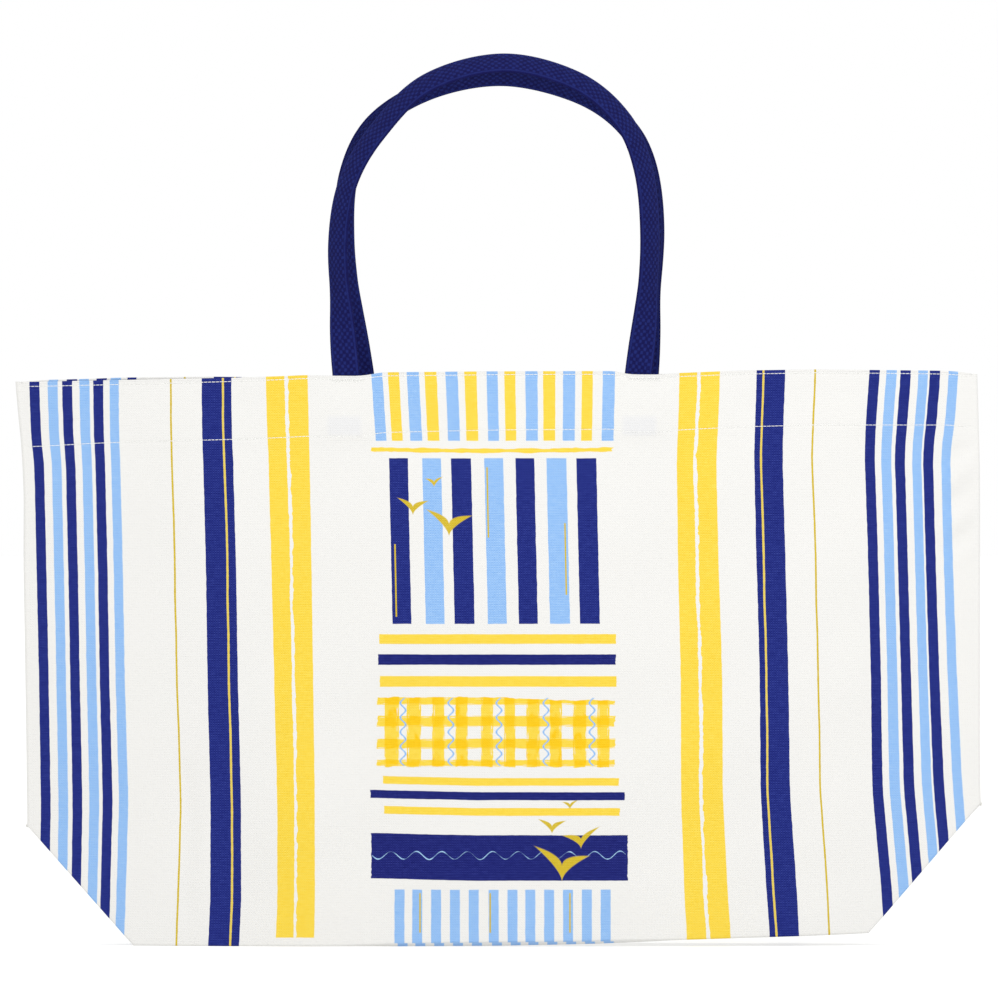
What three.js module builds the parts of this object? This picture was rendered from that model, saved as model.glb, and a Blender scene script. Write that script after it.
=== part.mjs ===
// A canvas tote bag with two webbing handles, standing with its mouth part open and its boxed base
// folded up inside, so that the lower corners are cut at 45 degrees.
//
// Millimetres, +Z up. The origin is on the ground under the middle of the bag, X runs along the bag's
// width and the front faces -Y. The back half is the front half turned round the Z axis.

import * as THREE from 'three';

// ---- Bag body ----
const WIDTH = 610;              // side seam to side seam
const HEIGHT = 363;             // ground to the top edge
const BASE_DEPTH = 152;         // base, front to back, when it is opened out
const BELLY = 44;               // how far each panel bows out from the side seams
const CLOTH = 1.2;              // canvas
const GAP = 0.3;                // clearance between layers that lie on each other
const REST_STRIP = 6;           // width of the folded strip that the bag stands on
const HEM_DEPTH = 37;           // turned-in layer at the mouth
const ALLOWANCE = 11;           // sewn edges inside the side and corner seams

// ---- Handles ----
const STRAP_FLAT = 24;          // webbing where it is sewn in flat
const STRAP_WIDTH = 17;         // the same webbing, curled, in the hand loop
const STRAP_THICKNESS = 2.4;
const STRAP_SPACING = 188;      // middle of one leg to middle of the other
const STRAP_TUCK = 13;          // tail turned up behind the hem's lower edge
const LEG_HEIGHT = 86;          // straight part of a leg above the top edge
const ARCH_SPREAD = 98;         // half width of the arch, at the middle of the strap
const ARCH_RISE = 112;          // height of the arch above the legs
const STRAP_START = 2;          // bottom of the moving loop above the top edge
const EDGE_ROUND = 0.7;         // softened edges of the webbing
const HANDLE_STEPS = 56;

// ---- Thread ----
const THREAD = 0.6;
const UPPER_ROW = 5;            // stitch row below the top edge
const LOWER_ROW = 35;
const TACK_WIDTH = 21;
const TACK_HEIGHT = 2.2;
const TACK_TEETH = 7;
const TACK_BELOW_EDGE = 3;

// ---- Worked out from the above ----
const HALF_WIDTH = WIDTH / 2;
const HALF_BASE = BASE_DEPTH / 2;
const CORNER_X = HALF_WIDTH - HALF_BASE;
const STRAP_X = STRAP_SPACING / 2;
const SEAM_HALF = CLOTH + GAP + CLOTH;
const LIFT = CLOTH + GAP;
const HEM_DEPTH_IN = CLOTH + GAP;
const STRAP_MIDDLE = HEM_DEPTH_IN + CLOTH + GAP + STRAP_THICKNESS / 2;
const HEM_OVER_TUCK = STRAP_THICKNESS + GAP;
const HEM_FOOT = HEIGHT - HEM_DEPTH;
const TUCK_TOP = HEM_FOOT + STRAP_TUCK + 4;
const HEM_SLOPE = 11;

// ---- Materials ----
const canvas = () => new THREE.MeshStandardMaterial({ color: 0xf2f1ec, roughness: 0.92, metalness: 0 });
const webbing = () => new THREE.MeshStandardMaterial({ color: 0x20245f, roughness: 0.85, metalness: 0 });
const cotton = () => new THREE.MeshStandardMaterial({ color: 0xfafaf6, roughness: 0.8, metalness: 0 });

// Distance of a panel's outer face from the plane of the side seams.
function bow(x) {
  return SEAM_HALF + BELLY * (1 - (x / HALF_WIDTH) ** 2);
}

// Lower edge of a panel: level along the base, then 45 degrees up to the side seam.
function lowerEdge(x) {
  return LIFT + Math.max(0, Math.abs(x) - CORNER_X);
}

// The base is a tent along X: each wall is half of the base's depth, from the fold to the ridge.
function ridge(x) {
  return Math.sqrt(HALF_BASE ** 2 - bow(x) ** 2);
}

function tentSlope(x) {
  return (bow(x) - REST_STRIP) / ridge(x);
}

// Top of the tent's surface, moved out from the cloth's upper face by offset.
function tentTop(x, offset) {
  return ridge(x) + offset / Math.sin(Math.atan(tentSlope(x)));
}

// Distance of that surface from the middle plane at height z.
function tentSide(x, offset, z) {
  return (tentTop(x, offset) - z) * tentSlope(x);
}

// Evenly spaced values from low to high, both included.
function steps(low, high, count) {
  return Array.from({ length: count + 1 }, (_, i) => low + ((high - low) * i) / count);
}

// Places across the bag where a sheet bends: even steps, the straps' edges and the base's corners.
function stations(limit) {
  const near = [STRAP_FLAT / 2 + 1, STRAP_FLAT / 2 + 12].flatMap((d) => [STRAP_X - d, STRAP_X + d]);
  const corner = [CORNER_X - ALLOWANCE, CORNER_X];
  const right = [...near, ...corner, ...steps(19, 200, 5), ...steps(248, limit, 3)];
  const kept = right.filter((x) => x <= limit).sort((a, b) => a - b);
  return [...kept.map((x) => -x).reverse(), 0, ...kept];
}

// A closed sheet of cloth on a grid. face(i, j, side) is a corner point, with side 0 the face whose
// normal is the i direction crossed with the j direction, and side 1 the other face.
function thickSheet(columns, rows, face) {
  const positions = [];
  const index = [];
  const at = (i, j, side) => (side * columns + i) * rows + j;
  const quad = (a, b, c, d) => index.push(a, b, c, a, c, d);
  for (let side = 0; side < 2; side += 1) {
    for (let i = 0; i < columns; i += 1) {
      for (let j = 0; j < rows; j += 1) positions.push(...face(i, j, side));
    }
  }
  const right = columns - 1;
  const top = rows - 1;
  for (let i = 0; i < right; i += 1) {
    for (let j = 0; j < top; j += 1) {
      quad(at(i, j, 0), at(i + 1, j, 0), at(i + 1, j + 1, 0), at(i, j + 1, 0));
      quad(at(i, j, 1), at(i, j + 1, 1), at(i + 1, j + 1, 1), at(i + 1, j, 1));
    }
    quad(at(i, 0, 0), at(i, 0, 1), at(i + 1, 0, 1), at(i + 1, 0, 0));
    quad(at(i, top, 0), at(i + 1, top, 0), at(i + 1, top, 1), at(i, top, 1));
  }
  for (let j = 0; j < top; j += 1) {
    quad(at(0, j, 0), at(0, j + 1, 0), at(0, j + 1, 1), at(0, j, 1));
    quad(at(right, j, 0), at(right, j, 1), at(right, j + 1, 1), at(right, j + 1, 0));
  }
  const geometry = new THREE.BufferGeometry();
  geometry.setAttribute('position', new THREE.Float32BufferAttribute(positions, 3));
  geometry.setIndex(index);
  geometry.computeVertexNormals();
  return geometry;
}

// An upright strip that follows the front panel, from low(x) to high. Its outer face lies depth
// behind the panel's outer face.
function uprightStrip(xs, low, high, depth, thickness) {
  return thickSheet(xs.length, 2, (i, j, side) => {
    const x = xs[i];
    return [x, -(bow(x) - depth - side * thickness), j === 0 ? low(x) : high];
  });
}

// A strip laid over the tent shape: lower(x) and upper(x) list its points from front to middle.
function tentStrip(xs, lower, upper) {
  const across = (half) => [...half, ...half.slice(0, -1).reverse().map(([y, z]) => [-y, z])];
  const sections = xs.map((x) => [across(upper(x)), across(lower(x))]);
  return thickSheet(xs.length, sections[0][0].length, (i, j, side) => [xs[i], ...sections[i][side][j]]);
}

function named(name, geometry, material) {
  const mesh = new THREE.Mesh(geometry, material);
  mesh.name = name;
  return mesh;
}

// ---- Bag body ----
function panel() {
  return uprightStrip(stations(HALF_WIDTH), lowerEdge, HEIGHT, 0, CLOTH);
}

// The hem's lower part steps inward where the tail of a strap is turned up behind it.
function hem() {
  const xs = stations(HALF_WIDTH - 4);
  const heights = [HEM_FOOT, TUCK_TOP, TUCK_TOP + HEM_SLOPE, HEIGHT];
  const over = (x) => {
    const away = Math.abs(Math.abs(x) - STRAP_X) - STRAP_FLAT / 2 - 1;
    return HEM_OVER_TUCK * THREE.MathUtils.clamp(1 - away / HEM_SLOPE, 0, 1);
  };
  return thickSheet(xs.length, heights.length, (i, j, side) => {
    const depth = HEM_DEPTH_IN + (j < 2 ? over(xs[i]) : 0) + side * CLOTH;
    return [xs[i], -(bow(xs[i]) - depth), heights[j]];
  });
}

function base() {
  const xs = stations(CORNER_X - GAP);
  const lower = (x) => [
    [-bow(x), 0],
    [-tentSide(x, -CLOTH, 0), 0],
    [0, tentTop(x, -CLOTH)],
  ];
  const upper = (x) => [
    [-bow(x), CLOTH],
    [-tentSide(x, 0, CLOTH), CLOTH],
    [0, ridge(x)],
  ];
  return tentStrip(xs, lower, upper);
}

// A gusset goes on from the end of the base to the foot of the side seam, and its lower edges follow
// the panels' 45 degree edges.
function gusset() {
  const start = CORNER_X + GAP;
  const xs = steps(start, HALF_WIDTH - 4, 5);
  const foot = (x) => Math.max(GAP, x - CORNER_X);
  const top = (x) => ridge(start) + ((HALF_BASE + LIFT - ridge(start)) * (x - start)) / HALF_BASE;
  const reach = (x) => bow(x) - CLOTH - GAP;
  const drop = (x) => CLOTH / Math.sin(Math.atan(reach(x) / (top(x) - foot(x))));
  const lower = (x) => [[-(reach(x) - CLOTH), foot(x)], [0, top(x) - drop(x)]];
  const upper = (x) => [[-reach(x), foot(x)], [0, top(x)]];
  return tentStrip(xs, lower, upper);
}

function cornerSeam() {
  const xs = [CORNER_X - ALLOWANCE, CORNER_X - 1];
  const low = 8;
  const line = (x, offset) => [[-tentSide(x, offset, low), low], [0, tentTop(x, offset)]];
  return tentStrip(xs, (x) => line(x, GAP), (x) => line(x, GAP + CLOTH));
}

function sideSeam() {
  const low = HALF_BASE + 3;
  const high = HEIGHT - HEM_DEPTH - 1;
  const strip = new THREE.BoxGeometry(ALLOWANCE - GAP, 2 * CLOTH, high - low);
  return strip.translate(HALF_WIDTH - GAP - (ALLOWANCE - GAP) / 2, 0, (low + high) / 2);
}

// ---- Handles ----
// Two straight legs joined by half an ellipse that leans out a little at the shoulders.
class HandleCurve extends THREE.Curve {
  getPoint(t, target = new THREE.Vector3()) {
    const legs = 0.26;
    if (t < legs) return target.copy(this.leg(-1, t / legs));
    if (t > 1 - legs) return target.copy(this.leg(1, (1 - t) / legs));
    const angle = Math.PI * (1 - (t - legs) / (1 - 2 * legs));
    return target.set(ARCH_SPREAD * Math.cos(angle), 0, LEG_HEIGHT + ARCH_RISE * Math.sin(angle));
  }

  leg(side, up) {
    const ease = up * up * (3 - 2 * up);
    const x = side * THREE.MathUtils.lerp(STRAP_X, ARCH_SPREAD, ease);
    return new THREE.Vector3(x, 0, THREE.MathUtils.lerp(STRAP_START, LEG_HEIGHT, up));
  }
}

// Webbing cut across: a flat oblong with softened edges.
function strapSection() {
  const x = STRAP_THICKNESS / 2;
  const y = STRAP_WIDTH / 2;
  const shape = new THREE.Shape();
  shape.moveTo(x, y - EDGE_ROUND);
  shape.lineTo(x - EDGE_ROUND, y);
  shape.lineTo(EDGE_ROUND - x, y);
  shape.lineTo(-x, y - EDGE_ROUND);
  shape.lineTo(-x, EDGE_ROUND - y);
  shape.lineTo(EDGE_ROUND - x, -y);
  shape.lineTo(x - EDGE_ROUND, -y);
  shape.lineTo(x, EDGE_ROUND - y);
  shape.closePath();
  return shape;
}

function handleLoop() {
  const options = { steps: HANDLE_STEPS, extrudePath: new HandleCurve() };
  const geometry = new THREE.ExtrudeGeometry(strapSection(), options);
  return geometry.translate(0, -(bow(STRAP_X) - STRAP_MIDDLE), HEIGHT);
}

// Middle line of a strap's end as [depth, height] pairs: down the inner side of the hem, round its
// lower edge and up behind it.
function strapEndLine() {
  const low = HEM_FOOT - CLOTH - GAP;
  const inner = STRAP_MIDDLE + HEM_OVER_TUCK;
  const radius = (CLOTH + 2 * GAP + STRAP_THICKNESS) / 2;
  const turn = steps(0, Math.PI, 6).map((angle) => [
    inner - radius + radius * Math.cos(angle),
    low - radius * Math.sin(angle),
  ]);
  const down = [[STRAP_MIDDLE, HEIGHT], [STRAP_MIDDLE, TUCK_TOP + HEM_SLOPE], [inner, TUCK_TOP]];
  return [...down, ...turn, [inner - 2 * radius, HEM_FOOT + STRAP_TUCK]];
}

function strapEnd(side) {
  const line = strapEndLine().map(([depth, z]) => new THREE.Vector2(depth, z));
  const middle = side * STRAP_X;
  const xs = steps(middle - STRAP_FLAT / 2, middle + STRAP_FLAT / 2, 2);
  const last = line.length - 1;
  const across = line.map((_, j) => {
    const way = line[Math.min(j + 1, last)].clone().sub(line[Math.max(j - 1, 0)]).normalize();
    return new THREE.Vector2(-way.y, way.x).multiplyScalar(STRAP_THICKNESS / 2);
  });
  return thickSheet(xs.length, line.length, (i, j, side01) => {
    const point = line[j].clone().addScaledVector(across[j], side01 === 0 ? 1 : -1);
    return [xs[i], -(bow(xs[i]) - point.x), point.y];
  });
}

// ---- Thread ----
function stitchRow(below) {
  const z = HEIGHT - below;
  const xs = stations(HALF_WIDTH - 3);
  return uprightStrip(xs, () => z - THREAD / 2, z + THREAD / 2, -GAP - THREAD, THREAD);
}

// A zigzag of thread, flat on the panel, across one strap.
function tack(side) {
  const reach = TACK_HEIGHT / 2;
  const points = steps(-TACK_WIDTH / 2, TACK_WIDTH / 2, 2 * TACK_TEETH);
  const line = points.map((x, i) => new THREE.Vector2(x, i % 2 === 0 ? -reach : reach));
  const above = line.map((p) => new THREE.Vector2(p.x, p.y + THREAD));
  const shape = new THREE.Shape([...line, ...above.reverse()]);
  const geometry = new THREE.ExtrudeGeometry(shape, { depth: THREAD, bevelEnabled: false });
  const x = side * STRAP_X;
  const lean = Math.atan((bow(x + 1) - bow(x - 1)) / 2);
  geometry.rotateX(Math.PI / 2);
  geometry.rotateZ(-lean);
  return geometry.translate(x, -bow(x) - GAP, HEIGHT - TACK_BELOW_EDGE);
}

// ---- Assembly ----
// One half, in place at the front. left and right name its sides as seen from the front of the bag.
function half(face, left, right) {
  const group = new THREE.Group();
  group.add(named(`${face}_panel`, panel(), canvas()));
  group.add(named(`${face}_hem`, hem(), canvas()));
  group.add(named(`${face}_handle`, handleLoop(), webbing()));
  group.add(named(`${face}_hem_upper_thread`, stitchRow(UPPER_ROW), cotton()));
  group.add(named(`${face}_hem_lower_thread`, stitchRow(LOWER_ROW), cotton()));
  for (const [side, name] of [[-1, left], [1, right]]) {
    group.add(named(`${face}_${name}_strap_end`, strapEnd(side), webbing()));
    group.add(named(`${face}_${name}_tack`, tack(side), cotton()));
  }
  return group;
}

function end(name) {
  const group = new THREE.Group();
  group.add(named(`${name}_gusset`, gusset(), canvas()));
  group.add(named(`${name}_corner_seam`, cornerSeam(), canvas()));
  group.add(named(`${name}_side_seam`, sideSeam(), canvas()));
  return group;
}

function toteBag() {
  const bag = new THREE.Group();
  const front = half('front', 'left', 'right');
  const back = half('back', 'right', 'left');
  back.rotation.z = Math.PI;
  const right = end('right');
  const left = end('left');
  left.rotation.z = Math.PI;
  bag.add(named('base_panel', base(), canvas()), front, back, right, left);
  return bag;
}

const group = toteBag();

export default group;
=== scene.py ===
"""A printed canvas tote bag with two webbing handles, in metres, +Z up, with its front facing -Y.

The cloth is worked out as grids of points on the bag's outer face. Each grid is made for the front half
of an even bag. The back half is the same grid turned half a turn round Z, and settle() then gives both
halves the small unevenness of a real bag. UV map "Cloth" holds each point's place on the flat cloth, in
metres: U from the middle of the bag, V up from the bottom fold.
"""

import math

import bmesh
import bpy
import numpy as np
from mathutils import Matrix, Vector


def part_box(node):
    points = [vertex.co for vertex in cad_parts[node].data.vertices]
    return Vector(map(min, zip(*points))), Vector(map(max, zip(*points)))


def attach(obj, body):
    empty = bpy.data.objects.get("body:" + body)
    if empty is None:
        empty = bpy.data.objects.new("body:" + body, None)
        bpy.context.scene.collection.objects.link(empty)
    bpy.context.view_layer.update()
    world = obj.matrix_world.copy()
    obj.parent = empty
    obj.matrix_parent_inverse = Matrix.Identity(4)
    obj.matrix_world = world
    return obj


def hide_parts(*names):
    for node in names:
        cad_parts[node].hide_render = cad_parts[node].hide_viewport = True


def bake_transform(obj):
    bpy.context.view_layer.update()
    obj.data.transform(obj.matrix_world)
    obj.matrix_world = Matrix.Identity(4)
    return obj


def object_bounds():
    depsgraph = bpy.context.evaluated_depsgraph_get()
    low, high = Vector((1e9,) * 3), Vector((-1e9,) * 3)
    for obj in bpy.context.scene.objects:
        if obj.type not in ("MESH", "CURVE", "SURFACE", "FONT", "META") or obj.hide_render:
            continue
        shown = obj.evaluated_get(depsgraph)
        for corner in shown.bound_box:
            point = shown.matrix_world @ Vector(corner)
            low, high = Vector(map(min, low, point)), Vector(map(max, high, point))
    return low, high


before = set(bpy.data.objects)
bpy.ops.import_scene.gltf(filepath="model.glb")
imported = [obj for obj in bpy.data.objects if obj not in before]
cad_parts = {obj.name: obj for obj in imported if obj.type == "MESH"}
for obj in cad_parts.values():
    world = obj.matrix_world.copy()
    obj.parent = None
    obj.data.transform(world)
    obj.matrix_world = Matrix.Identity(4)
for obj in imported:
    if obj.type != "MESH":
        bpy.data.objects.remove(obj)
CAD_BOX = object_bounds()

MM = 0.001
TINY = 1e-6                     # room for rounding
FACES = {"front": -1, "back": 1}    # the side of the bag's middle plane that each half is on

# ---- Sizes from the frame ----
PANEL_LOW, PANEL_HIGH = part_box("front_panel")
HALF_WIDTH = PANEL_HIGH.x
TOP = PANEL_HIGH.z
CORNER_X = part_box("base_panel")[1].x + 0.3 * MM     # with half the gap between base and gusset
HALF_BASE = HALF_WIDTH - CORNER_X
SEAM_HALF = 2.7 * MM            # from the middle plane to a panel's face at the side seams
BELLY = -PANEL_LOW.y - SEAM_HALF
STRAP_X = sum(corner.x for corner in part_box("front_right_strap_end")) / 2
SEAM_LOW, SEAM_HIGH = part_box("right_side_seam")

# ---- Cloth ----
CLOTH = 0.9 * MM
STEP = 3.6 * MM
ROLL = 2.65 * MM                # radius at which a panel rolls round to its side seam
FOLD = 1.6 * MM                 # radius of the bottom fold
FOOT = 6 * MM                   # flat strip that the bag stands on
TURN = 1.05 * MM                # radius of the fold at the mouth
HEM_END = 4 * MM                # the hem stops this far short of the side seams
GROOVE = 0.15 * MM              # how deep a row of stitches pulls into the cloth

# ---- Webbing ----
WEB = 1.7 * MM                  # thickness
WEB_WIDTH = 17.3 * MM           # in the loop, where the webbing curls
TAIL_WIDTH = 23 * MM            # where it is sewn flat
DOT_ACROSS = 1.9 * MM           # from one column of raised dots to the next
DOT_ALONG = 2.3 * MM
LAYER = 0.3 * MM                # room between layers
TUCK = 13 * MM                  # how far a strap's tail turns up behind the panel
TAIL_DEPTH = CLOTH + LAYER + WEB / 2
HEM_OVER_TAIL = 1.8 * MM
LEG_DEPTH = 2 * TURN + LAYER + WEB / 2
TUCKED_LEG_DEPTH = LEG_DEPTH + HEM_OVER_TAIL

# ---- Thread ----
THREAD = 0.23 * MM              # radius
THREAD_SIDES = 6
PITCH = 2.45 * MM
STITCH = ((0, -1), (0.1, 0.1), (0.32, 1), (0.68, 1), (0.9, 0.1), (1, -1))   # (share of length, rise)
NEAR_ROW = [offset * MM for offset in (-2.2, -1.2, -0.5, 0, 0.5, 1.2, 2.2)]


def smooth(t):
    """0 up to t = 0, 1 from t = 1, and an eased rise between."""
    t = np.clip(t, 0, 1)
    return t * t * (3 - 2 * t)


def eased(value, places, levels, width):
    """Straight stretches through the given points, with their corners rounded over width."""
    offsets = np.linspace(-width, width, 9)
    return np.mean([np.interp(value + offset, places, levels) for offset in offsets], axis=0)


def curve(*points):
    """Places and levels of a curve, from its (place, level) points in millimetres."""
    return np.transpose(points) * MM


# ---- The even bag ----
def bow(x):
    """Distance of a panel's outer face from the plane of the side seams."""
    return SEAM_HALF + BELLY * (1 - (x / HALF_WIDTH) ** 2)


def edge_height(x):
    """Height of a panel's lower fold: level under the base, then up at 45 degrees to the side seam."""
    return np.maximum(0, np.abs(x) - CORNER_X)


def ridge_height(x):
    """Height of the line where the folded base and gussets meet in the middle of the bag."""
    inside = np.minimum(np.abs(x), CORNER_X)
    base = np.sqrt(HALF_BASE**2 - bow(inside) ** 2)
    beyond = np.clip((np.abs(x) - CORNER_X) / HALF_BASE, 0, 1)
    return base + (HALF_BASE + 1 * MM - base) * beyond


LOWER_DEPTH = curve(
    (-305, 41.6), (-250, 39.6), (-180, 39.2), (-130, 39), (0, 37.2), (65, 37), (130, 36), (305, 34.4),
)
UPPER_DEPTH = curve((-305, 3), (-200, 2.6), (-90, 2.2), (305, 2.2))


def lower_row(x):
    """Height of the lower row of hem stitches, which runs a little downhill to the left."""
    return TOP - eased(x, *LOWER_DEPTH, 15 * MM)


def upper_row(x):
    """Height of the upper row of hem stitches, just below the mouth's edge."""
    return TOP - np.interp(x, *UPPER_DEPTH) + 0.12 * MM * np.sin(x / 0.031)


def hem_foot(x):
    return lower_row(x) - 2.4 * MM


def near_strap(x, flat, slope):
    """1 within flat of a strap's middle line, falling to 0 over slope."""
    away = np.abs(np.abs(x) - STRAP_X) - flat
    return smooth(1 - away / slope)


def over_tail(x, z):
    """How far the hem's inner layer steps inwards over the turned-up tail of a strap."""
    height = z - hem_foot(x) - TUCK
    return HEM_OVER_TAIL * near_strap(x, TAIL_WIDTH / 2, 9 * MM) * smooth(1 - (height - 2 * MM) / (9 * MM))


def groove(x, z):
    """How far the two rows of stitches pull the cloth in."""
    rows = [np.exp(-(((z - row(x)) / (0.9 * MM)) ** 2)) for row in (lower_row, upper_row)]
    return GROOVE * np.maximum(*rows)


def columns():
    """Places across the bag: even steps, then the last millimetres rolled round to the side seams.
    Gives x, the distance from the middle plane, and the room there for a fold, from 1 down to 0."""
    flat = HALF_WIDTH - ROLL
    even = np.linspace(-flat, flat, 2 * round(flat / STEP) + 1)
    hem = HALF_WIDTH - HEM_END
    x = np.unique(np.concatenate([even, [-CORNER_X, CORNER_X, -hem, hem]]))
    turn = np.radians(np.linspace(0, 86, 9))[1:]
    side_bow = bow(flat) * np.cos(turn)
    side_x = flat + ROLL * np.sin(turn) - 0.5 * MM * np.exp(-((side_bow / (0.8 * MM)) ** 2))
    across = np.concatenate([-side_x[::-1], x, side_x])
    out = np.concatenate([side_bow[::-1], bow(x), side_bow])
    room = np.concatenate([np.cos(turn)[::-1], np.ones(len(x)), np.cos(turn)])
    return across, out, room


X, OUT, ROOM = columns()


# ---- The real bag's unevenness ----
# How far the mouth, the bottom fold and the foot strip have moved up or down at places across the bag, and
# how far its two ends have moved along X at each height.
MOUTH_LIFT = {
    "front": curve(
        (-305, -4.2), (-292, -4.3), (-222, -3), (-168, -2), (-134, -0.9), (-121, -0.3), (-108, -0.7),
        (-86, -0.9), (-72, 1.4), (0, 2), (75, 2.2), (84, 0.1), (104, 0), (114, 0.9), (155, 2.6),
        (200, 3.4), (285, 2.7), (295, 1.9), (305, 0.4),
    ),
    "back": curve(
        (-305, -4.6), (-286, -3), (-259, -2.3), (-237, -1.4), (-181, -0.7), (-168, -0.9), (-134, -1.2),
        (0, 0.4), (155, 1.4), (285, 1.8), (305, 0),
    ),
}
FOLD_LIFT = {
    "front": curve(
        (-305, 0), (-110, 0), (-80, 0.8), (-65, 1.6), (0, 2.7), (66, 3.5), (121, 4.2), (155, 5.3),
        (193, 6.4), (236, 8.2), (305, 14.6),
    ),
    "back": curve((-305, 0), (-60, 0), (60, 0), (130, 4), (229, 8.2), (305, 14)),
}
LEFT_DRIFT = curve(
    (0, -2), (76, 5.8), (133, 5.1), (200, 4.1), (245, 3.3), (290, 3.5), (309, 2.7), (325, 1.7), (341, 0),
    (363, -1.9),
)
RIGHT_DRIFT = curve((0, 7.6), (80, 3.7), (110, 3.3), (200, 3.4), (300, 3.4), (340, 2.4), (363, 1.7))
FOOT_DROP = curve((-115, 0), (-80, 0.6), (-65, 1.5), (0, 2.2), (40, 2), (66, 1.7), (90, 1.1), (121, 0))


def drift(x, z):
    """How far the cloth has moved along X: the lower corners have been pushed to the right."""
    left = eased(z, *LEFT_DRIFT, 6 * MM) * smooth((-x - 120 * MM) / (100 * MM))
    right = eased(z, *RIGHT_DRIFT, 6 * MM) * smooth((x - 120 * MM) / (100 * MM))
    return left + right


def lift(x, z, face):
    """How far the cloth has moved up. The mouth is wavy and dips at the straps, and the right end of the
    bottom fold is off the ground."""
    bottom = eased(x, *FOLD_LIFT[face], 10 * MM)
    mouth = eased(x, *MOUTH_LIFT[face], 4 * MM)
    share = smooth((z - 90 * MM) / (200 * MM))
    return bottom * (1 - share) + mouth * share


def foot_drop(x, face):
    """How far the front panel's foot strip hangs down behind its fold, in the middle of the bag."""
    return eased(x, *FOOT_DROP, 5 * MM) * (face == "front")


def waves(x, z, seed, shortest, longest, count=10):
    """A gentle rumple: a sum of sine waves in many directions, from -1 to 1."""
    rng = np.random.default_rng(seed)
    total = 0
    for _ in range(count):
        length = rng.uniform(shortest, longest)
        angle = rng.uniform(-math.pi / 2, math.pi / 2)
        phase = rng.uniform(0, 2 * math.pi)
        total = total + np.sin(2 * math.pi * (x * math.cos(angle) + z * math.sin(angle)) / length + phase)
    return total / math.sqrt(count / 2) / 2


def relief(x, z, face):
    """How far the cloth has moved outwards: soft waves in the panel, small puckers at the hem, a low bump
    over each strap's tail, and a few creases."""
    seed = 11 if face == "front" else 23
    sides = smooth((HALF_WIDTH - 6 * MM - np.abs(x)) / (50 * MM))
    foot = smooth((z - edge_height(x) - 4 * MM) / (40 * MM))
    head = smooth((TOP - 2 * MM - z) / (20 * MM))
    soft = 1.3 * MM * waves(x, z, seed, 70 * MM, 190 * MM) * sides * foot * (0.35 + 0.65 * head)
    from_row = np.abs(z - lower_row(x))
    pucker = 0.22 * MM * waves(x, z * 0.3, seed + 1, 9 * MM, 22 * MM) * np.exp(-from_row / (9 * MM)) * sides
    above_foot = z - hem_foot(x)
    below = smooth(-above_foot / (3 * MM)) * smooth(1 + above_foot / (40 * MM))
    tail = smooth(above_foot / (1.5 * MM)) * smooth((TUCK + 1.5 * MM - above_foot) / (2.5 * MM))
    bump = 0.4 * MM * tail * near_strap(x, 10.5 * MM, 3 * MM)
    return soft + pucker + bump + creases(x, z, face) - 0.4 * MM * below * sides * foot


def crease(x, z, middle, slant, low, high, width, depth):
    """A soft upright dent from height low to high, round the line x = middle + slant * z."""
    across = (x - middle - slant * z) / width
    along = smooth((z - low) / (20 * MM)) * smooth((high - z) / (20 * MM))
    return -depth * np.exp(-(across**2)) * along


def creases(x, z, face):
    """A dent and a ridge near the front's lower left corner, crumples beside the right end of its hem, and
    one dent in the back."""
    if face == "back":
        return crease(x, z, 190 * MM, 0.05, 10 * MM, 130 * MM, 9 * MM, 1 * MM)
    dent = crease(x, z, -197 * MM, -0.05, 8 * MM, 125 * MM, 6 * MM, 1.1 * MM)
    ridge = crease(x, z, -186 * MM, -0.05, 8 * MM, 110 * MM, 7 * MM, -0.6 * MM)
    across = np.exp(-(((x - 291 * MM) / (9 * MM)) ** 2))
    along = smooth((z - 230 * MM) / (30 * MM)) * smooth((325 * MM - z) / (12 * MM))
    return dent + ridge + 1.5 * MM * across * along * np.sin((z - 0.7 * x) / (4.6 * MM))


def settle(points, face):
    """Moves points of the even front half to where that half's cloth really is."""
    side = -FACES[face]
    x = side * points[..., 0]
    y = side * points[..., 1]
    height = points[..., 2]
    z = np.clip(height, 0, TOP)
    outwards = FACES[face] * relief(x, z, face) * (height <= TOP)
    raised = lift(x, z, face) * (1 - smooth((height - TOP) / (60 * MM)))
    return np.stack([x + drift(x, z), y + outwards, height + raised], axis=-1)


# The print has drifted with the cloth, but not by the same amount as the edges of the bag. Each row of
# PRINT_SHIFT is for one place across the bag, and holds the shift at each height, all in millimetres.
PRINT_HEIGHTS = (0, 28, 92, 169, 245, 310, 330, 363)
PRINT_SHIFT = [
    (-290, (7, 7, 7.5, 6.3, 4.7, 3.2, 1.1, 0)),
    (-245, (3.4, 4.3, 6, 3.9, 2.6, 1, 0.2, 0)),
    (-206, (3.2, 4.4, 6.5, 3.8, 2.2, 0.6, 0, -0.3)),
    (-178, (3.8, 5.3, 5.1, 3.3, 2.4, 0.7, -0.2, -0.3)),
    (-134, (6.4, 7.6, 7.5, 5.7, 3.7, 2, 1.1, 0)),
    (-85, (0,) * 8),
    (88, (0,) * 8),
    (128, (6, 4.2, 1.5, 1.3, -1.3, -2.5, -1, 0.2)),
    (174, (8.4, 6.4, 2.6, 1.9, 0, -1.6, -1, 0)),
    (202, (9, 8, 3.4, 1.9, 0, -2.2, -1.3, 0)),
    (240, (9, 7.4, 1.5, 0.6, -1.3, -3.5, -2.6, 0)),
    (290, (9, 7.4, 2.1, -1.3, -3.8, -5.4, -2.5, 0)),
]


# The back was cut a little to one side of the front, as its stripes above the front's mouth show.
BACK_SHIFT = curve((-290, 8.5), (-235, 8.5), (-205, 4), (-170, 2.6), (-100, 0))


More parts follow.
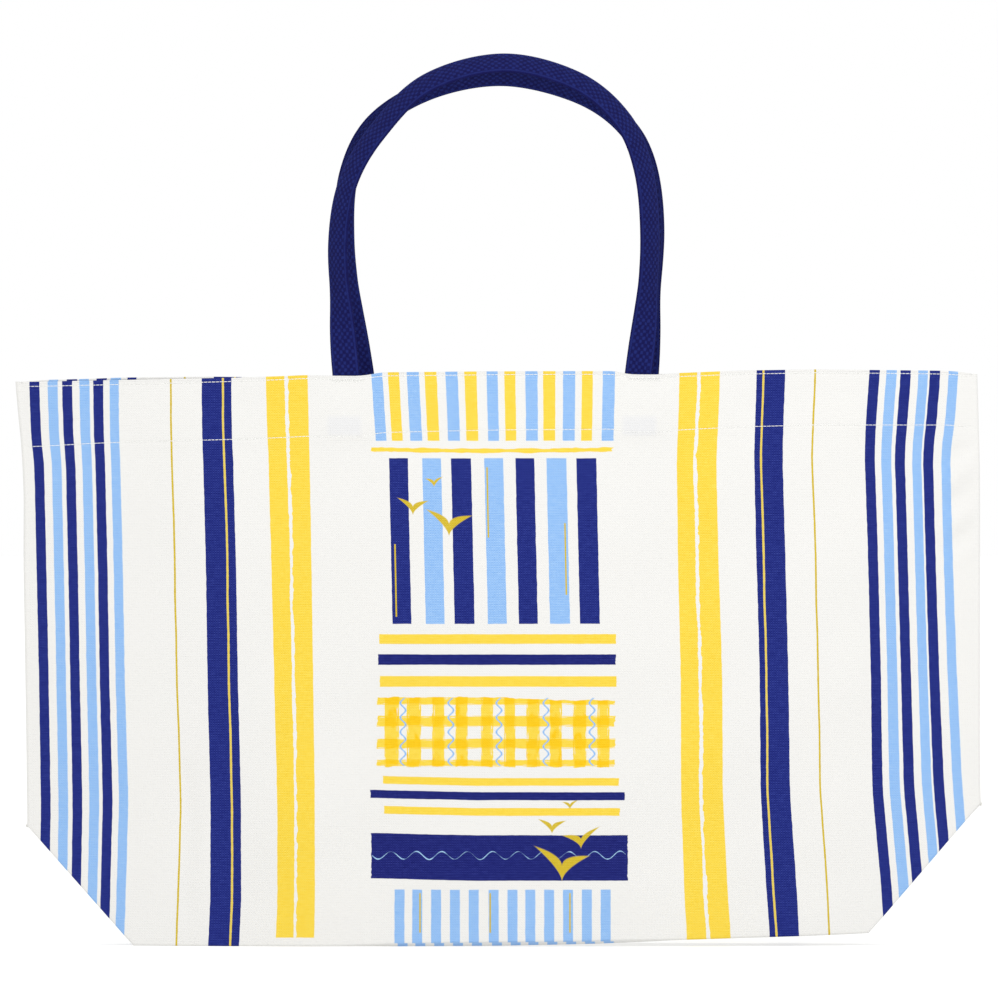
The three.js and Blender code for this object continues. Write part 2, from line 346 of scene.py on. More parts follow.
def print_drift(x, z):
    """How far the print has moved along X from where it was on the flat cloth."""
    places = np.array([place for place, _ in PRINT_SHIFT]) * MM
    total = 0
    for k, (_, shifts) in enumerate(PRINT_SHIFT):
        share = np.interp(x, places, np.arange(len(places)) == k)
        total = total + share * eased(z, *curve(*zip(PRINT_HEIGHTS, shifts)), 8 * MM)
    return total


# ---- Meshes ----
def make_mesh(name, vertices, quads, uvs, materials, slots):
    """A mesh piece. uvs has one pair for each vertex, and slots one material number for each face."""
    mesh = bpy.data.meshes.new(name)
    mesh.from_pydata(vertices.tolist(), [], quads.tolist())
    for material in materials:
        mesh.materials.append(material)
    mesh.polygons.foreach_set("material_index", slots)
    mesh.polygons.foreach_set("use_smooth", np.ones(len(quads), bool))
    corners = np.zeros(len(mesh.loops), np.int32)
    mesh.loops.foreach_get("vertex_index", corners)
    layer = mesh.uv_layers.new(name="Cloth")
    layer.data.foreach_set("uv", uvs[corners].astype(np.float32).ravel())
    mesh.validate()
    mesh.update()
    piece = bpy.data.objects.new(name, mesh)
    bpy.context.scene.collection.objects.link(piece)
    return piece


def grid_quads(rows, count, first=0):
    """Faces of a grid of points numbered row by row."""
    i, j = np.meshgrid(np.arange(rows - 1), np.arange(count - 1), indexing="ij")
    a = (first + i * count + j).ravel()
    return np.stack([a, a + 1, a + count + 1, a + count], axis=1)


def cloth_piece(name, outer, flat, materials):
    """A sheet of cloth with its outer face on the grid outer and its inner face CLOTH behind it.
    materials are those of the outer face, and of the inner face with the cut edges."""
    rows, count, _ = outer.shape
    normal = np.cross(np.gradient(outer, axis=1), np.gradient(outer, axis=0))
    normal /= np.maximum(np.linalg.norm(normal, axis=-1, keepdims=True), 1e-12)
    inner = outer - normal * CLOTH
    total = rows * count
    front = grid_quads(rows, count)
    back = grid_quads(rows, count, total)[:, ::-1]
    number = np.arange(total).reshape(rows, count)
    loop = np.concatenate([number[0], number[1:, -1], number[-1, -2::-1], number[-2:0:-1, 0]])
    ahead = np.roll(loop, -1)
    rim = np.stack([ahead, loop, loop + total, ahead + total], axis=1)
    vertices = np.concatenate([outer.reshape(-1, 3), inner.reshape(-1, 3)])
    quads = np.concatenate([front, back, rim])
    slots = np.concatenate([np.zeros(len(front)), np.ones(len(back) + len(rim))]).astype(np.int32)
    uvs = np.concatenate([flat.reshape(-1, 2)] * 2)
    return make_mesh(name, vertices, quads, uvs, materials, slots)


def on_cloth(x, z, flat_x, flat_z, face):
    """UVs of points at (x, z) on the even half that are at (flat_x, flat_z) on the flat cloth."""
    side = -FACES[face]
    world_x = side * x
    height = np.clip(z, 0, TOP)
    along = side * (drift(world_x, height) - print_drift(world_x + drift(world_x, height), height))
    if face == "back":
        along = along - side * np.interp(world_x, *BACK_SHIFT)
    return np.stack([flat_x + along, flat_z + lift(world_x, height, face)], axis=-1)


def half_piece(name, face, grid, materials):
    """A cloth piece from rows of (distance from the middle plane, height, cloth X, cloth V)."""
    x, rows = grid
    y = np.stack([-row[0] for row in rows])
    z = np.stack([row[1] + 0 * x for row in rows])
    flat_x = np.stack([row[2] + 0 * x for row in rows])
    flat_z = np.stack([row[3] + 0 * x for row in rows])
    wide = np.broadcast_to(x, z.shape)
    outer = settle(np.stack([wide, y, z], axis=-1), face)
    return cloth_piece(name, outer, on_cloth(wide, z, flat_x, flat_z, face), materials)


def bend(piece):
    """Bakes the piece's transform into its mesh."""
    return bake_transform(piece)


# ---- Cloth pieces ----
def foot_strip(x, room):
    """Width of the strip that the bag stands on: none past the corners, but for a trace."""
    return FOOT * smooth((CORNER_X + 2 * MM - np.abs(x)) / (8 * MM)) + 0.6 * MM * room


def fold_rows(face):
    """Foot strip and bottom fold, from the inner end of the foot round to the foot of the wall."""
    edge = edge_height(X)
    radius = FOLD * ROOM
    foot = foot_strip(X, ROOM)
    drop = foot_drop(-FACES[face] * X, face)
    rows = []
    for share in (1, 0.75, 0.5, 0.25):
        cloth = edge + radius * (1 - math.pi / 2) - foot * share
        rows.append((OUT - radius - foot * share, edge - drop * share**0.6, X, cloth))
    for angle in np.radians(np.linspace(0, 90, 8)):
        cloth = edge + radius * (1 + angle - math.pi / 2)
        rows.append((OUT - radius * (1 - math.sin(angle)), edge + radius * (1 - math.cos(angle)), X, cloth))
    return rows


def between(low, high, count):
    """Heights from low to high, without low itself."""
    return [low + (high - low) * share for share in np.linspace(0, 1, count + 1)[1:]]


def panel_rows(face):
    """A panel, from the foot strip up to where the hem turns over."""
    start = edge_height(X) + FOLD * ROOM
    hemmed = smooth((HALF_WIDTH - HEM_END + 0.1 * MM - np.abs(X)) / (0.1 * MM))
    top = TOP - TURN * hemmed
    heights = between(start, lower_row(X) - 3.6 * MM, 78)
    heights += [lower_row(X) + offset for offset in NEAR_ROW]
    heights += between(lower_row(X) + 2.2 * MM, upper_row(X) - 3 * MM, 9)
    heights += [upper_row(X) + offset for offset in NEAR_ROW[:-2]]
    heights += between(upper_row(X) + 0.5 * MM, top, 2)
    wall = [(OUT - groove(X, z) * ROOM, z, X, z) for z in heights]
    return fold_rows(face) + wall


def hem_rows(x):
    """The hem, from the top of the panel over the mouth's edge and down to its cut edge inside."""
    out = bow(x)
    rows = []
    for angle in np.radians(np.linspace(0, 180, 11)):
        z = TOP - TURN + TURN * math.sin(angle)
        rows.append((out - TURN * (1 - math.cos(angle)), z, x, TOP - TURN + TURN * angle))
    past = TOP - TURN + TURN * math.pi
    heights = [upper_row(x) + offset for offset in NEAR_ROW[-3::-1]]
    heights += between(upper_row(x) - 2.2 * MM, lower_row(x) + 3 * MM, 12)
    heights += [lower_row(x) + offset for offset in NEAR_ROW[::-1]]
    heights += [hem_foot(x)]
    for z in heights:
        depth = 2 * TURN + over_tail(x, z) - groove(x, z)
        rows.append((out - depth, z, x, past + TOP - TURN - z))
    return rows


def tent_rows(face, select, gusset):
    """Half of the folded-up base, or of a gusset, from the ridge down to the foot strip."""
    x, out, room = X[select], OUT[select], ROOM[select]
    edge = edge_height(x)
    radius = FOLD * room
    foot = foot_strip(x, room)
    start = np.maximum(out - radius - foot, 0.25 * MM)
    top = ridge_height(x)
    length = np.hypot(start, top - edge)
    drop = foot_drop(-FACES[face] * x, face)
    rows = []
    for share in np.linspace(1, 0, 26):
        height = edge + (top - edge) * share
        sag = 1.2 * MM * math.sin(math.pi * share) * room + drop * (1 - share) ** 6
        if gusset:
            rows.append((start * (1 - share), height, np.sign(x) * (CORNER_X + height), np.abs(x) - CORNER_X))
        else:
            cloth = edge - radius * (math.pi / 2 - 1) - foot - length * share
            rows.append((start * (1 - share), height - sag, x, cloth))
    return x, rows


def corner_seam_rows(side):
    """Seam allowance at the end of the base, lying on the base's upper face."""
    x = side * np.linspace(CORNER_X - 11 * MM, CORNER_X - 1 * MM, 6)
    if side < 0:
        x = x[::-1]
    out = bow(x)
    top = ridge_height(x)
    start = out - FOLD - FOOT * 0.3
    rows = []
    for share in np.linspace(1, 0.12, 18):
        y = start * (1 - share) + 2.4 * MM
        z = top * share + 1.6 * MM - 1.2 * MM * math.sin(math.pi * share)
        rows.append((y, z, x + 30 * MM, z))
    return x, rows


# ---- Thread ----
def tube_pattern(rings, sides):
    """Faces of one stitch: its round side, and two quads across each end."""
    quads = []
    for ring in range(rings - 1):
        for k in range(sides):
            a, b = ring * sides + k, ring * sides + (k + 1) % sides
            quads.append((a, b, b + sides, a + sides))
    last = (rings - 1) * sides
    quads += [(3, 2, 1, 0), (5, 4, 3, 0)]
    quads += [(last, last + 1, last + 2, last + 3), (last, last + 3, last + 4, last + 5)]
    return np.array(quads)


def stitches(name, starts, ends, normals, rise, material):
    """Separate stitches: each a short round thread from its start to its end, bulging along its normal."""
    sides = THREAD_SIDES
    along = ends - starts
    length = np.linalg.norm(along, axis=1, keepdims=True)
    tangent = along / length
    across = np.cross(tangent, normals)
    across /= np.linalg.norm(across, axis=1, keepdims=True)
    up = np.cross(across, tangent)
    rings = []
    for share, height in STITCH:
        middle = starts + along * share + up * (rise * height)
        for angle in np.arange(sides) * 2 * math.pi / sides:
            rings.append(middle + THREAD * (math.cos(angle) * across + math.sin(angle) * up))
    count, per = len(starts), len(STITCH) * sides
    vertices = np.stack(rings, axis=1).reshape(-1, 3)
    pattern = tube_pattern(len(STITCH), sides)
    faces = (np.arange(count)[:, None, None] * per + pattern[None]).reshape(-1, 4)
    share = np.repeat([point[0] for point in STITCH], sides)
    turn = np.tile(np.arange(sides) / sides, len(STITCH))
    uv_one = np.stack([turn * 6 * THREAD, share * 2 * MM], axis=1)
    uvs = np.tile(uv_one, (count, 1)) + np.repeat(np.arange(count) * PITCH, per)[:, None] * [0, 1]
    return make_mesh(name, vertices, faces, uvs, [material], np.zeros(len(faces), np.int32))


def through_hem(name, face, x, z, depths, gap, rise, material):
    """Stitches from point to point of a line on the hem, first outside and then inside. depths are how
    deep they lie below the panel's face, and gap is the share of each step left free at both ends."""
    starts, ends, normals = [], [], []
    for depth, facing in zip(depths, (-1, 1)):
        points = settle(np.stack([x, -(bow(x) - depth), z], axis=-1), face)
        starts.append(points[:-1] * (1 - gap) + points[1:] * gap)
        ends.append(points[:-1] * gap + points[1:] * (1 - gap))
        normals.append(np.tile([0, -facing * FACES[face], 0.0], (len(x) - 1, 1)))
    return stitches(name, *map(np.concatenate, (starts, ends, normals)), rise, material)


def stitch_row(name, face, row, material):
    """A row of lockstitches through both layers of the hem, seen from outside and from inside."""
    limit = HALF_WIDTH - HEM_END - 1 * MM
    holes = np.arange(-limit, limit, PITCH)
    z = row(holes)
    strap = (np.abs(np.abs(holes) - STRAP_X) < TAIL_WIDTH / 2) * 1.0
    leg = LEG_DEPTH if row is upper_row else TUCKED_LEG_DEPTH
    hem = 2 * TURN + over_tail(holes, z) - GROOVE
    inside = hem * (1 - strap) + (leg + WEB / 2) * strap
    return through_hem(name, face, holes, z, (GROOVE, inside), 0.07, 0.12 * MM, material)


def tack(name, face, side, material):
    """A zigzag of thread across a strap, just below the mouth's edge, outside and inside."""
    teeth = 18
    reach = 10.5 * MM
    x = side * STRAP_X + np.linspace(-reach, reach, teeth)
    z = TOP - 3 * MM + 1.4 * MM * np.where(np.arange(teeth) % 2, 1, -1)
    return through_hem(name, face, x, z, (0.05 * MM, LEG_DEPTH + WEB / 2), 0, 0.15 * MM, material)


# ---- Handles ----
# Middle lines of the loops as the front view shows them, from one end at the mouth to the other, as
# (x, height) in millimetres.
HANDLE_ROUTES = {
    "front": [
        (-95.3, 363), (-98.6, 400), (-101.3, 446), (-94.8, 485), (-76, 517.5), (-44, 548.5), (4, 561.3),
        (50.5, 550), (80, 525.5), (93.8, 493.5), (98, 450), (95.2, 403), (89.8, 363),
    ],
    "back": [
        (-86.5, 363), (-93, 403), (-97.8, 450), (-95, 492), (-78, 525), (-42, 547), (4, 555.3),
        (50, 545.3), (80.5, 526), (96.3, 499), (101.8, 457), (98, 403), (95.2, 363),
    ],
}


def through(points, spacing):
    """A smooth line through the points, resampled to even spacing."""
    points = np.array(points, float)
    padded = np.concatenate([2 * points[:1] - points[1:2], points, 2 * points[-1:] - points[-2:-1]])
    t = np.linspace(0, 1, 40, endpoint=False)[:, None]
    parts = []
    for a, b, c, d in zip(padded, padded[1:], padded[2:], padded[3:]):
        cubic = 2 * b + (c - a) * t + (2 * a - 5 * b + 4 * c - d) * t**2 + (3 * b - a - 3 * c + d) * t**3
        parts.append(0.5 * cubic)
    dense = np.concatenate([*parts, points[-1:]])
    length = np.concatenate([[0], np.cumsum(np.linalg.norm(np.diff(dense, axis=0), axis=1))])
    even = np.linspace(0, length[-1], round(length[-1] / spacing) + 1)
    return np.stack([np.interp(even, length, axis) for axis in dense.T], axis=1)


def tail_points(x, face):
    """Middle line of one end of a strap as (x, depth, height), from its cut end inside the hem to the
    mouth's edge: down behind the panel, round the hem's cut edge and up its inner side."""
    local = -FACES[face] * x
    foot = float(hem_foot(local))
    radius = (TUCKED_LEG_DEPTH - TAIL_DEPTH) / 2
    middle = (TUCKED_LEG_DEPTH + TAIL_DEPTH) / 2
    line = [(TAIL_DEPTH, foot + TUCK), (TAIL_DEPTH, foot + TUCK / 2), (TAIL_DEPTH, foot)]
    for angle in np.radians((30, 60, 90, 120, 150)):
        line.append((middle - radius * math.cos(angle), foot - 0.8 * MM - radius * math.sin(angle)))
    line += [(TUCKED_LEG_DEPTH, foot), (TUCKED_LEG_DEPTH, foot + TUCK + 2 * MM)]
    line += [(LEG_DEPTH, foot + TUCK + 11 * MM), (LEG_DEPTH, TOP - 2 * MM)]
    return [(x, depth, z) for depth, z in line]


def handle_line(face):
    """A strap's whole middle line, from one cut end to the other."""
    loop = [(x * MM, 0, z * MM) for x, z in HANDLE_ROUTES[face]]
    left = tail_points(loop[0][0], face)
    right = tail_points(loop[-1][0], face)
    line = through(left + [(x, LEG_DEPTH, z) for x, _, z in loop[1:-1]] + right[::-1], 0.75 * MM)
    x, depth, z = line.T
    ends = bow(loop[0][0]), bow(loop[-1][0])
    free = smooth((z - TOP) / (60 * MM))
    out = np.where(x < 0, *ends) * (1 - free) + sum(ends) / 2 * free
    return settle(np.stack([-FACES[face] * x, -(out - depth), z], axis=-1), face)


def handle_frames(points, face):
    """Width and thickness directions of the strap. In the loop it turns about its own length, so that its
    outer face looks partly outwards."""
    side = FACES[face]
    tangent = np.gradient(points, axis=0)
    tangent /= np.linalg.norm(tangent, axis=1, keepdims=True)
    height = points[:, 2] - TOP
    outward = np.stack([-tangent[:, 2], 0 * height, tangent[:, 0]], axis=1)
    slope = 2 * BELLY * STRAP_X / HALF_WIDTH**2
    sewn = np.stack([np.sign(points[:, 0]), side * -slope + 0 * height, 0 * height], axis=1)
    free = smooth(height / (9 * MM))[:, None]
    turned = np.radians(46) * smooth(height / (62 * MM))[:, None]
    loop = outward * np.cos(turned) - side * np.array([0, 1.0, 0]) * np.sin(turned)
    width = sewn * (1 - free) + loop * free
    width -= tangent * np.sum(width * tangent, axis=1, keepdims=True)
    width /= np.linalg.norm(width, axis=1, keepdims=True)
    return width, np.cross(tangent, width)


def pebble(across, along):
    """The webbing's woven pattern: raised dots in offset columns, from 0 to 1."""
    wave = np.cos(math.pi * across / DOT_ACROSS) * np.cos(math.pi * along / DOT_ALONG)
    return np.clip(wave, 0, 1)


def webbing_section(along, half):
    """Once round the strap's cross-section, as (offset, height, place across the webbing), where the first
    two have a value for each point along it."""
    flat_half = (WEB_WIDTH - WEB) / 2
    sections = []
    for sign in (1, -1):
        for share in np.linspace(-1, 1, 25) * sign:
            across = share * flat_half
            inner = np.clip((0.82 - abs(share)) / 0.1, 0, 1)
            selvage = 0.12 * MM * math.exp(-(((abs(share) - 0.92) / 0.06) ** 2))
            raised = 0.2 * MM * pebble(across, along) * inner + selvage
            sections.append((share * (half - WEB / 2), sign * (WEB / 2 - 0.1 * MM + raised), across))
        for angle in np.radians(np.linspace(-60, 60, 5)):
            offset = sign * (half - WEB / 2 + WEB / 2 * math.cos(angle))
            sections.append((offset, sign * WEB / 2 * -math.sin(angle) + 0 * along, sign * WEB_WIDTH / 2))
    return sections


def ring_quads(rows, count):
    """Faces of a closed tube of rows rings with count points each, and of its two flat ends."""
    i, j = np.meshgrid(np.arange(rows - 1), np.arange(count), indexing="ij")
    a = (i * count + j).ravel()
    b = (i * count + (j + 1) % count).ravel()
    body = np.stack([a, b, b + count, a + count], axis=1)
    strip = np.arange(count // 2 - 1)
    cap = np.stack([strip, strip + 1, count - 2 - strip, count - 1 - strip], axis=1)
    return np.concatenate([body, cap[:, ::-1], cap + (rows - 1) * count])


def handle(name, face, material):
    """One length of webbing, sewn in at both ends."""
    points = handle_line(face)
    width, thick = handle_frames(points, face)
    step = np.linalg.norm(np.diff(points, axis=0), axis=1)
    along = np.concatenate([[0], np.cumsum(step)])
    sewn = 1 - smooth((points[:, 2] - TOP + 16 * MM) / (16 * MM))
    half = (WEB_WIDTH + (TAIL_WIDTH - WEB_WIDTH) * sewn) / 2
    camber = FACES[face] * 0.9 * MM * smooth((points[:, 2] - TOP) / (20 * MM))
    rings, uvs = [], []
    for offset, height, across in webbing_section(along, half):
        raised = height + camber * (offset / half) ** 2
        rings.append(points + width * offset[:, None] + thick * raised[:, None])
        uvs.append(np.stack([across + 0 * along, along], axis=1))
    vertices = np.stack(rings, axis=1).reshape(-1, 3)
    quads = ring_quads(len(points), len(rings))
    flat = np.stack(uvs, axis=1).reshape(-1, 2)
    piece = make_mesh(name, vertices, quads, flat, [material], np.zeros(len(quads), np.int32))
    outside(piece)
    return piece


def outside(piece):
    """Turns every face to point out."""
    work = bmesh.new()
    work.from_mesh(piece.data)
    bmesh.ops.recalc_face_normals(work, faces=work.faces)
    work.to_mesh(piece.data)
    work.free()
    piece.data.update()


# ---- Materials ----
INK_COVER = 0.988               # a little of the canvas shows through the ink
NOISE_GAIN = 2.6                # brings noise round 0 out to about -1 and 1
WEAVE_BUMP = 0.12 * MM          # depth of the bump for woven threads


def arithmetic(operation, swapped=False, clamp=False):
    """A method that joins a Field and other numbers with one maths node."""
    def method(self, *others):
        values = (*others, self) if swapped else (self, *others)
        return self.graph.math(operation, *values, clamp=clamp)
    return method


class Field:
    """A number that varies over a surface: the output of a shader node, with arithmetic."""

    def __init__(self, graph, socket):
        self.graph = graph
        self.socket = socket

    __add__ = __radd__ = arithmetic("ADD")
    __sub__ = arithmetic("SUBTRACT")
    __rsub__ = arithmetic("SUBTRACT", swapped=True)
    __mul__ = __rmul__ = arithmetic("MULTIPLY")
    __truediv__ = arithmetic("DIVIDE")
    __abs__ = arithmetic("ABSOLUTE")
    __pow__ = arithmetic("POWER")
    __lt__ = arithmetic("LESS_THAN")        # 1 where it is so, and 0 elsewhere
    __gt__ = arithmetic("GREATER_THAN")
    sine = arithmetic("SINE")
    cosine = arithmetic("COSINE")
    root = arithmetic("SQRT")
    at_least = arithmetic("MAXIMUM")
    clamped = arithmetic("MULTIPLY", clamp=True)    # times a number, then kept between 0 and 1


class Graph:
    """A material's node tree, built with short calls."""

    def __init__(self, name):
        self.material = bpy.data.materials.new(name)
        self.material.use_nodes = True
        self.tree = self.material.node_tree
        self.tree.nodes.clear()

    def node(self, kind, **settings):
        made = self.tree.nodes.new(kind)
        for key, value in settings.items():
            setattr(made, key, value)
        return made

    def plug(self, socket, value):
        value = getattr(value, "socket", value)
        if isinstance(value, bpy.types.NodeSocket):
            self.tree.links.new(value, socket)
        else:
            socket.default_value = value

    def math(self, operation, *values, clamp=False):
        made = self.node("ShaderNodeMath", operation=operation, use_clamp=clamp)
        for socket, value in zip(made.inputs, values):
            self.plug(socket, value)
        return Field(self, made.outputs[0])

    def cloth_place(self):
        """U and V on the flat cloth, in millimetres."""
        place = self.node("ShaderNodeUVMap", uv_map="Cloth")
        split = self.node("ShaderNodeSeparateXYZ")
        self.plug(split.inputs[0], place.outputs[0])
        return [Field(self, split.outputs[k]) * 1000.0 for k in range(2)]

    def noise(self, u, v, across, along, detail=2.0, seed=0.0):
        """Smooth noise around 0, from about -1 to 1, with features across by along millimetres."""
        join = self.node("ShaderNodeCombineXYZ")
        self.plug(join.inputs[0], u / across)
        self.plug(join.inputs[1], v / along)
        join.inputs[2].default_value = seed
        made = self.node("ShaderNodeTexNoise")
        self.plug(made.inputs["Vector"], join.outputs[0])
        made.inputs["Scale"].default_value = 1.0
        made.inputs["Detail"].default_value = detail
        return (Field(self, made.outputs["Fac"]) - 0.5) * NOISE_GAIN

    def inside(self, value, low, high, soft=0.25):
        """1 between low and high, with edges soft millimetres wide."""
        return (value - low).clamped(1 / soft) * (high - value).clamped(1 / soft)

    def mix(self, share, first, second):
        made = self.node("ShaderNodeMix", data_type="RGBA")
        self.plug(made.inputs[0], share)
        self.plug(made.inputs[6], first)
        self.plug(made.inputs[7], second)
        return made.outputs[2]

    def bands(self, value, stripes, span):
        """Colour and mask of a row of stripes (low, high, ink), all inside span."""
        low, high = span
        made = self.node("ShaderNodeValToRGB")
        made.color_ramp.interpolation = "CONSTANT"
        self.plug(made.inputs[0], (value - low) / (high - low))
        stops = {0.0: (1, 1, 1, 0)}
        for start, end, ink in stripes:
            stops[(start - low) / (high - low)] = INKS[ink]
            stops.setdefault((end - low) / (high - low), (1, 1, 1, 0))
        elements = made.color_ramp.elements
        elements.remove(elements[1])
        for position, colour in sorted(stops.items()):
            element = elements[0] if position == 0.0 else elements.new(position)
            element.color = colour
        return made.outputs[0], Field(self, made.outputs[1])

    def finish(self, colour, roughness, height, bump, specular=0.12):
        """The surface: a rough cloth shader with a bump of the given depth in metres."""
        surface = self.node("ShaderNodeBsdfPrincipled")
        self.plug(surface.inputs["Base Color"], colour)
        self.plug(surface.inputs["Roughness"], roughness)
        surface.inputs["Specular IOR Level"].default_value = specular
        raised = self.node("ShaderNodeBump")
        raised.inputs["Strength"].default_value = 1.0
        raised.inputs["Distance"].default_value = bump
        self.plug(raised.inputs["Height"], height)
        self.plug(surface.inputs["Normal"], raised.outputs[0])
        output = self.node("ShaderNodeOutputMaterial")
        self.plug(output.inputs[0], surface.outputs[0])
        return self.material


GAIN = 0.73                     # paint colours are this much darker than they look in bright light
YARN = 0.78                     # from one yarn of the canvas to the next, in millimetres


def paint(red, green, blue, gain=GAIN):
    """Linear colour with alpha, from an sRGB one from 0 to 255."""
    shares = (value / 255 for value in (red, green, blue))
    return *(gain * (s / 12.92 if s <= 0.04045 else ((s + 0.055) / 1.055) ** 2.4) for s in shares), 1


INKS = {
    "navy": paint(13, 33, 127),
    "sky": paint(152, 196, 248),
    "yellow": paint(255, 221, 72),
    "deep": paint(255, 206, 25),
    "block": paint(4, 20, 114),
    "gold": paint(218, 190, 50),
    "straw": paint(238, 212, 98),
    "foam": paint(176, 220, 255),
}

# ---- The print, in millimetres on the flat cloth ----
# Stripes are (low, high, ink), thin lines (middle, half width, ink), yellow pairs (low, high, middle of
# the gap, lower end), bars (low, high, left, right, ink), strokes (place, low, high) and birds (middle U,
# middle V, width, height, tilt).
LEFT_STRIPES = [
    (-298.2, -291.4, "navy"), (-286.5, -280, "sky"), (-277, -270.3, "navy"), (-265.8, -259.4, "sky"),
    (-257.2, -250.8, "navy"), (-246.5, -240.4, "sky"), (-187, -168.6, "navy"),
]
RIGHT_STRIPES = [
    (164.9, 183.3, "navy"), (236.8, 243.4, "navy"), (248.2, 254.4, "sky"), (257.1, 263.6, "navy"),
    (268.5, 274.8, "sky"), (276, 282.4, "navy"), (288, 294.2, "sky"),
]
THIN_LINES = [(-206.8, 0.6, "gold"), (-173.6, 0.66, "straw"), (169.6, 0.66, "straw"), (202.6, 0.6, "gold")]
YELLOW_PAIRS = [(-146.5, -119.8, -133.8, 5.5), (115.9, 141.9, 128.3, -9)]
MOUTH_STARTS = [-80, -69.5, -57, -46, -32.5, -20.5, -7, 4.5, 18, 29.5, 42, 53.5, 67.5]
MIDDLE_STARTS = [-68.5, -47.5, -29, -8, 11.5, 31.5, 50.5]
FOOT_STARTS = [-65, -54, -42, -30, -18, -5.5, 6.5, 18, 30, 41.5, 53.5, 65.5]
UPRIGHTS = {                    # left edges, width, inks in turn, foot and top
    "mouth": (MOUTH_STARTS, 7.4, ("sky", "yellow"), 320.8, 420),
    "middle": (MIDDLE_STARTS, 12.2, ("navy", "sky"), 204.7, 310),
    "foot": (FOOT_STARTS, 6.5, ("sky",), -9, 36.4),
}
CROSS_BARS = [
    (192, 198.4, -74.5, 75.8, "yellow"), (178.7, 185.6, -75.2, 75.8, "block"),
    (164.8, 171.8, -74, 76.4, "yellow"), (102, 107.1, -72, 77.7, "yellow"),
    (92.8, 98.2, -80.2, 81.5, "block"), (83, 88.1, -71.4, 78.3, "yellow"),
    (41.8, 70.9, -79.6, 83.4, "block"),
]
BELOW = 2.2                     # the print steps sideways where it passes under the fold
CHECK_COLUMNS = [
    (-71.5, -62.5), (-57, -48.5), (-41, -33.3), (-26.6, -18.4), (-10, -2.5),
    (4.8, 11.7), (18.7, 27), (33.3, 41), (48.5, 56.8), (63.7, 71.4),
]
CHECK_ROWS = [(114.4, 118.5), (125.5, 131.8), (139.4, 146.4), (153.4, 158.1)]
WAVE_PLACES = [-59.3, -28.9, 1.6, 31.4, 60.6]
GOLD_STROKES = [
    (-64.4, 209.2, 255.5), (-6, 259.3, 304.3), (43.4, 223.1, 268.8),
    (-48.5, 8.8, 34.2), (-4, 8.8, 34.2), (46.6, 8.8, 34.2),
]
BIRDS = [
    (-39.6, 295.4, 10.7, 5.2, 0.1), (-53, 280.2, 18.9, 8.6, -0.1), (-30.1, 270, 27.8, 13, -0.14),
    (46.6, 90.6, 9.5, 4.6, 0.12), (35.2, 77.3, 17, 7.6, -0.06), (53.6, 69.4, 22.7, 9.6, 0.24),
    (41.5, 53.8, 32.8, 16.4, -0.18),
]


def bird(graph, u, v, middle_u, middle_v, width, height, tilt):
    """A plain two-winged mark: each wing a thin curve that rises from the middle and tapers to its tip."""
    p = abs(u - middle_u) / (width / 2)
    q = (v - middle_v - (u - middle_u) * tilt) / (height / 2)
    wing = p.root() * 1.75 - 0.95
    thick = (0.66 - p * 0.58).at_least(0.0)
    return (thick - abs(q - wing)).clamped(9.0)


class Hand:
    """The unevenness of a print painted by hand: noise of several sizes at a place on the cloth."""

    def __init__(self, graph, u, v):
        self.broad = graph.noise(u, v, 30, 9, detail=3, seed=1.3)
        self.fine = graph.noise(u, v, 3.5, 3.5, detail=2, seed=4.1)
        self.wobble = self.broad * 0.22 + self.fine * 0.14
        self.ragged = graph.noise(u, v, 6, 2.2, detail=4, seed=8.2)
        self.torn = graph.noise(u, v, 4, 7, detail=3, seed=8.9)
        self.slow = graph.noise(u * 0.0, v, 1, 60, detail=2, seed=2.2)


def print_layers(graph, u, v):
    """The print as (mask, colour) layers, lowest first."""
    hand = Hand(graph, u, v)
    layers = []
    for layer in (side_layers, upright_layers, bar_layers, check_layers, fine_layers):
        layers += layer(graph, u, v, hand)
    return layers


def side_layers(graph, u, v, hand):
    """The long stripes at both ends, the thin lines beside them and the yellow pairs."""
    layers = []
    for stripes, span in ((LEFT_STRIPES, (-310, -160)), (RIGHT_STRIPES, (155, 310))):
        colour, mask = graph.bands(u + hand.wobble, stripes, span)
        layers.append((mask * graph.inside(u, span[0] + 0.5, span[1] - 0.5), colour))
    for place, half, ink in THIN_LINES:
        line = abs(u - place - hand.slow * 0.5) < half + hand.fine * 0.15
        layers.append((line, INKS[ink]))
    for low, high, gap, end in YELLOW_PAIRS:
        middle = hand.slow * 0.9 + hand.torn * 0.8 + gap
        width = 1.05 + hand.broad * 0.4 + hand.torn * 0.5 + hand.ragged * 0.4
        painted = 1.0 - (abs(u - middle) < width)
        shape = graph.inside(u + hand.wobble, low, high) * painted * graph.inside(v + hand.wobble, end, 420)
        layers.append((shape, INKS["yellow"]))
    return layers


def upright_layers(graph, u, v, hand):
    """Three groups of upright stripes in the middle of the bag."""
    leans = {
        "mouth": (0.97 - u * 0.026) * ((TOP / MM - v) / 43),
        "middle": (310.0 - v) * 0.022,
        "foot": (v < BELOW) * 2.0,
    }
    layers = []
    for name, (starts, width, inks, low, high) in UPRIGHTS.items():
        stripes = [(start, start + width, inks[k % len(inks)]) for k, start in enumerate(starts)]
        colour, mask = graph.bands(u + hand.wobble - leans[name], stripes, (-90, 90))
        within = graph.inside(v + hand.wobble, low, high) * graph.inside(u, -89, 89)
        layers.append((mask * within, colour))
    return layers


